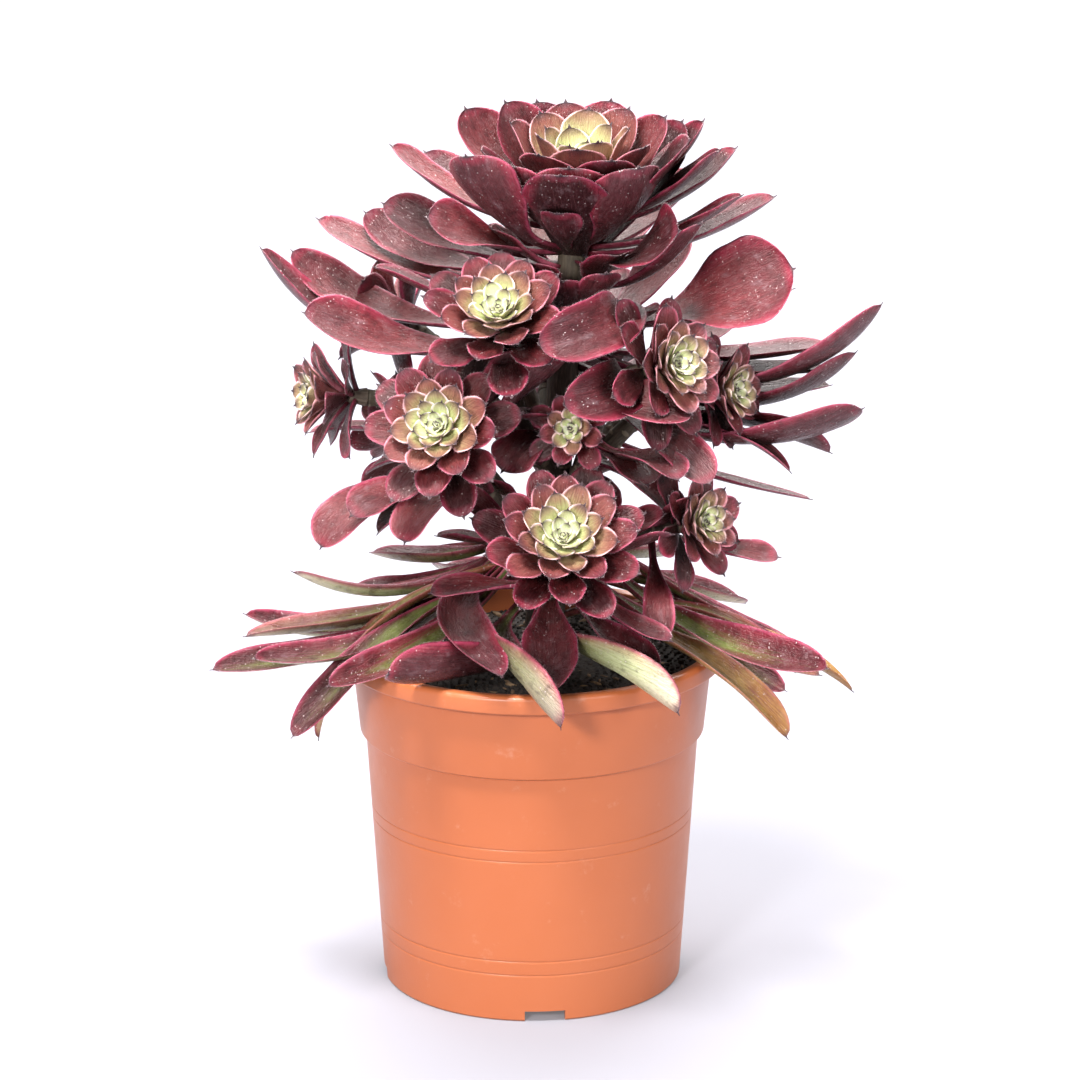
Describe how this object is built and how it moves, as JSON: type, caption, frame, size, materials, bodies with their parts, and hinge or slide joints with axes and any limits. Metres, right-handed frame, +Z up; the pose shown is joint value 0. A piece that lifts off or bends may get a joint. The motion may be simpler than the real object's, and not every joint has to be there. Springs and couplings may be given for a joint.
{
  "type": "potted aeonium",
  "caption": "Branching burgundy aeonium with rosettes and drooping lower leaves, growing in soil in a round terracotta-coloured plastic nursery pot.",
  "frame": {"origin": "middle of the pot's flat underside, on the surface it stands on", "axes": "+Z up along the pot's axis, -Y towards the front, +X to the right seen from the front"},
  "size_m": [0.3573, 0.2783, 0.4851],
  "materials": {
    "pot_plastic": "satin moulded polypropylene, terracotta orange",
    "soil": "dark crumbly potting soil",
    "stem_and_old_leaves": "grey-green to brown bark, old leaves olive green with magenta edges",
    "leaf_dark": "thick waxy leaf, dark burgundy with crimson edges",
    "leaf_rosette": "thick waxy leaf, cream-green in the middle, pink to burgundy outwards"
  },
  "bodies": {
    "root": {"pot": "pot_plastic", "soil": "soil", "stem_with_skirt_leaves": "stem_and_old_leaves", "main_head": "leaf_dark", "side_head_front_high": "leaf_rosette", "side_head_front_left": "leaf_rosette", "side_head_front_low": "leaf_rosette", "side_head_front_right": "leaf_rosette", "side_head_right": "leaf_rosette", "side_head_right_low": "leaf_rosette", "side_head_middle": "leaf_rosette", "side_head_left": "leaf_rosette", "side_head_left_high": "leaf_rosette", "side_head_back": "leaf_rosette", "side_head_back_high": "leaf_rosette", "side_head_back_right": "leaf_rosette", "side_head_back_left": "leaf_rosette"}
  },
  "joints": []
}
